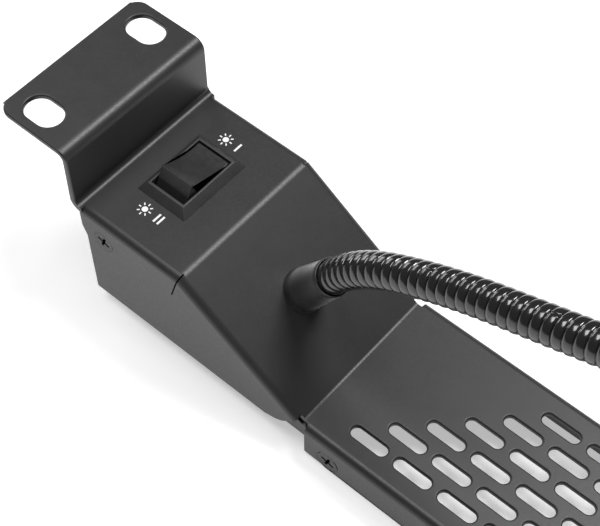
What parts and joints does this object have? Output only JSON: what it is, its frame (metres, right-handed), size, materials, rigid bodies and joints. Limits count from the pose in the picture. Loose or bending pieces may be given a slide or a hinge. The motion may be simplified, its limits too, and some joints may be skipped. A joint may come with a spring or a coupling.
{
  "type": "rack power strip",
  "caption": "Folded steel one-unit rack panel with a vented middle deck, a rocker switch in each raised end and a gooseneck lamp on each slope.",
  "frame": {"origin": "middle of the footprint, on the plane that the rear cover tabs rest on", "axes": "+X along the panel towards the box without the inlet, +Y up the rack when mounted, +Z out of the front of the panel"},
  "size_m": [0.4826, 0.0436, 0.0858],
  "materials": {
    "powder_coat": "satin textured charcoal powder coat",
    "black_screw": "black oxide",
    "zinc_steel": "bright zinc plate",
    "switch_plastic": "fine textured black moulding",
    "rocker_plastic": "smooth satin black moulding",
    "tinned_brass": "tinned",
    "boot_rubber": "satin black rubber",
    "spiral_tube": "gloss black spiral-wound steel",
    "lamp_aluminium": "black anodised",
    "white_board": "white solder mask",
    "led_phosphor": "satin",
    "lamp_lens": "lightly frosted",
    "green_board": "green solder mask",
    "component_black": "moulded",
    "green_plastic": "moulded",
    "red_wire": "extruded",
    "lead_insulation": "extruded",
    "clip_plastic": "moulded"
  },
  "bodies": {
    "root": {"front_panel": "powder_coat", "left_rear_cover": "powder_coat", "right_rear_cover": "powder_coat", "left_cover_screws": "black_screw", "right_cover_screws": "black_screw", "left_clinch_nuts": "zinc_steel", "right_clinch_nuts": "zinc_steel", "left_switch_body": "switch_plastic", "right_switch_body": "switch_plastic", "left_switch_terminals": "tinned_brass", "right_switch_terminals": "tinned_brass", "left_neck_boot": "boot_rubber", "right_neck_boot": "boot_rubber", "left_neck_ferrule": "zinc_steel", "right_neck_ferrule": "zinc_steel", "left_neck_nut": "zinc_steel", "right_neck_nut": "zinc_steel", "left_neck_washer": "zinc_steel", "right_neck_washer": "zinc_steel", "left_neck_base": "spiral_tube", "right_neck_base": "spiral_tube", "left_driver_board": "green_board", "right_driver_board": "green_board", "left_board_parts": "component_black", "right_board_parts": "component_black", "left_standoffs": "tinned_brass", "right_standoffs": "tinned_brass", "left_board_screws": "zinc_steel", "right_board_screws": "zinc_steel", "left_terminal_block": "green_plastic", "right_terminal_block": "green_plastic", "left_wiring": "red_wire", "right_wiring": "red_wire", "dc_inlet": "switch_plastic", "dc_inlet_nut": "zinc_steel", "link_lead": "lead_insulation", "lead_clips": "clip_plastic"},
    "left_rocker": {"left_rocker": "rocker_plastic"},
    "right_rocker": {"right_rocker": "rocker_plastic"},
    "left_neck_lower": {"left_neck_lower": "spiral_tube"},
    "right_neck_lower": {"right_neck_lower": "spiral_tube"},
    "left_neck_middle": {"left_neck_middle": "spiral_tube"},
    "right_neck_middle": {"right_neck_middle": "spiral_tube"},
    "left_neck_upper": {"left_neck_upper": "spiral_tube"},
    "right_neck_upper": {"right_neck_upper": "spiral_tube"},
    "left_lamp": {"left_lamp_collar": "lamp_aluminium", "left_lamp_shell": "lamp_aluminium", "left_lamp_cap": "lamp_aluminium", "left_led_board": "white_board", "left_leds": "led_phosphor", "left_lamp_lens": "lamp_lens"},
    "right_lamp": {"right_lamp_collar": "lamp_aluminium", "right_lamp_shell": "lamp_aluminium", "right_lamp_cap": "lamp_aluminium", "right_led_board": "white_board", "right_leds": "led_phosphor", "right_lamp_lens": "lamp_lens"}
  },
  "joints": [
    {"name": "left_rocker_tilt", "type": "hinge", "parent": "root", "child": "left_rocker", "pos_m": [-0.20545, 0.00065, 0.0322], "axis": [1, 0, 0], "range_deg": [0, 30]},
    {"name": "left_neck_side", "type": "hinge", "parent": "root", "child": "left_neck_lower", "pos_m": [-0.15075, 0, 0.05013], "axis": [-0.6137, 0, 0.7895], "range_deg": [-45, 45]},
    {"name": "left_neck_lift", "type": "hinge", "parent": "left_neck_lower", "child": "left_neck_middle", "pos_m": [-0.12732, 0, 0.06323], "axis": [0, -1, 0], "range_deg": [-15, 40]},
    {"name": "left_neck_reach", "type": "hinge", "parent": "left_neck_middle", "child": "left_neck_upper", "pos_m": [-0.09544, 0, 0.07588], "axis": [0, 1, 0], "range_deg": [-45, 25]},
    {"name": "left_lamp_tilt", "type": "hinge", "parent": "left_neck_upper", "child": "left_lamp", "pos_m": [-0.0536, 0, 0.07973], "axis": [0, -1, 0], "range_deg": [-45, 45]},
    {"name": "right_rocker_tilt", "type": "hinge", "parent": "root", "child": "right_rocker", "pos_m": [0.20545, 0.00065, 0.0322], "axis": [1, 0, 0], "range_deg": [0, 30]},
    {"name": "right_neck_side", "type": "hinge", "parent": "root", "child": "right_neck_lower", "pos_m": [0.15075, 0, 0.05013], "axis": [0.6137, 0, 0.7895], "range_deg": [-45, 45]},
    {"name": "right_neck_lift", "type": "hinge", "parent": "right_neck_lower", "child": "right_neck_middle", "pos_m": [0.12732, 0, 0.06323], "axis": [0, 1, 0], "range_deg": [-15, 40]},
    {"name": "right_neck_reach", "type": "hinge", "parent": "right_neck_middle", "child": "right_neck_upper", "pos_m": [0.09544, 0, 0.07588], "axis": [0, -1, 0], "range_deg": [-45, 25]},
    {"name": "right_lamp_tilt", "type": "hinge", "parent": "right_neck_upper", "child": "right_lamp", "pos_m": [0.0536, 0, 0.07973], "axis": [0, 1, 0], "range_deg": [-45, 45]}
  ]
}
